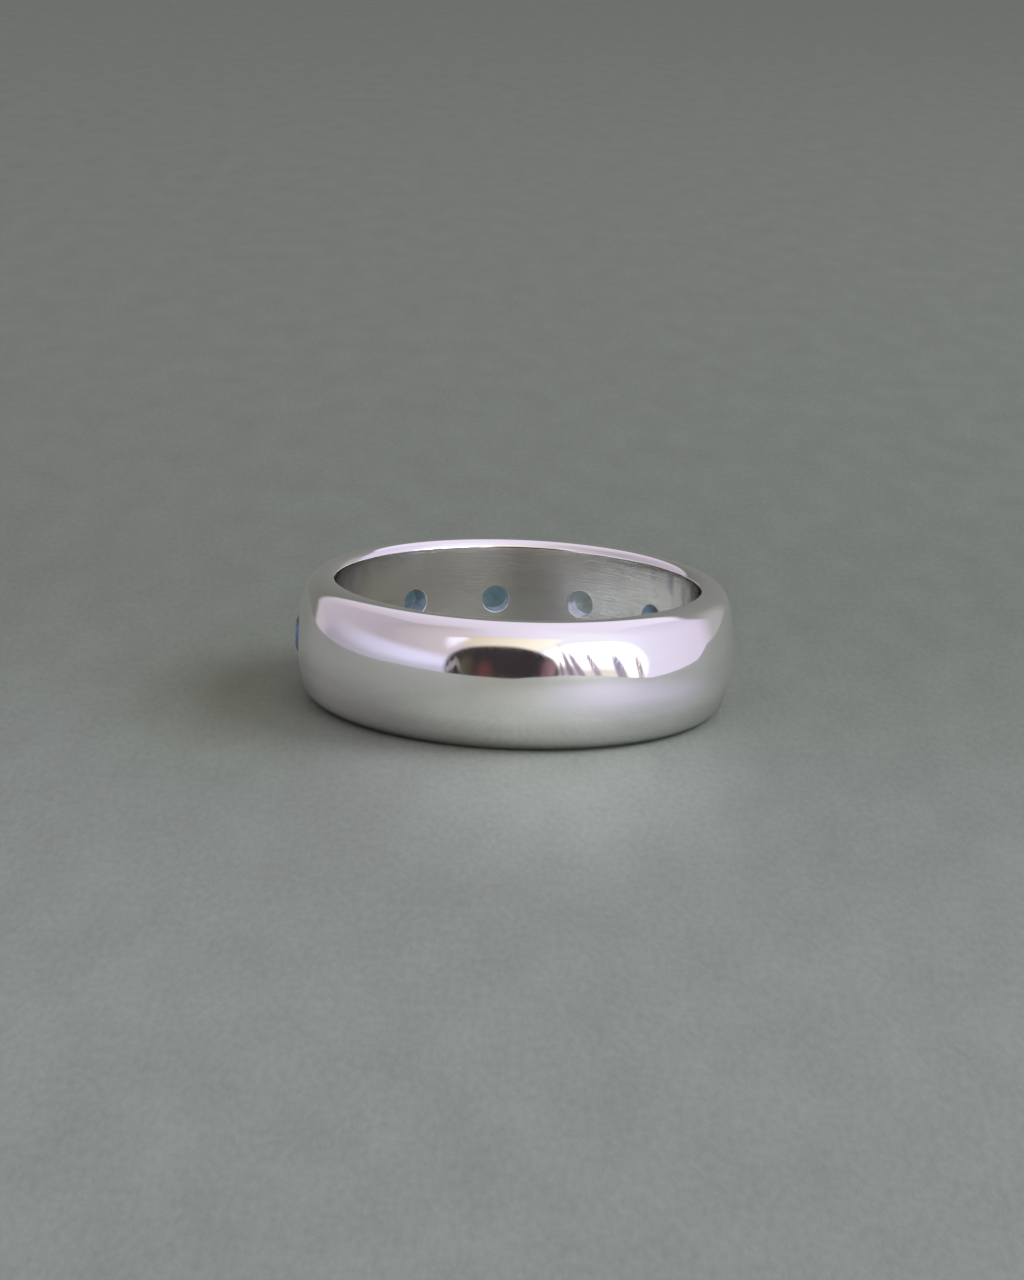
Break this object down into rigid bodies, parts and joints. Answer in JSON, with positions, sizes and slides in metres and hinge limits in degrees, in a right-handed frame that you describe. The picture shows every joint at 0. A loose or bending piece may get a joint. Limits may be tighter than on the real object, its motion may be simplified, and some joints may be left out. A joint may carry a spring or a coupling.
{
  "type": "topaz ring",
  "caption": "Wide half-round silver band ring, polished, with a row of small round blue topazes set flush in its dome over drilled light holes; a finger goes through it.",
  "frame": {"origin": "on the ring's axis, at the height of the surface that the ring lies on: the middle of the bottom of its bounding box", "axes": "+Z along the finger hole's axis, up while the ring lies on its side; +Y from the axis to the middle stone of the row; +X completes a right-handed frame, and topaz_1 is the end stone on the -X side"},
  "size_m": [0.021, 0.0209, 0.006],
  "materials": {
    "silver": "high polish, with fine handling marks",
    "topaz": "faceted and polished, sky to teal blue"
  },
  "bodies": {
    "root": {"band": "silver", "topaz_1": "topaz", "topaz_2": "topaz", "topaz_3": "topaz", "topaz_4": "topaz", "topaz_5": "topaz", "topaz_6": "topaz", "topaz_7": "topaz"}
  },
  "joints": []
}
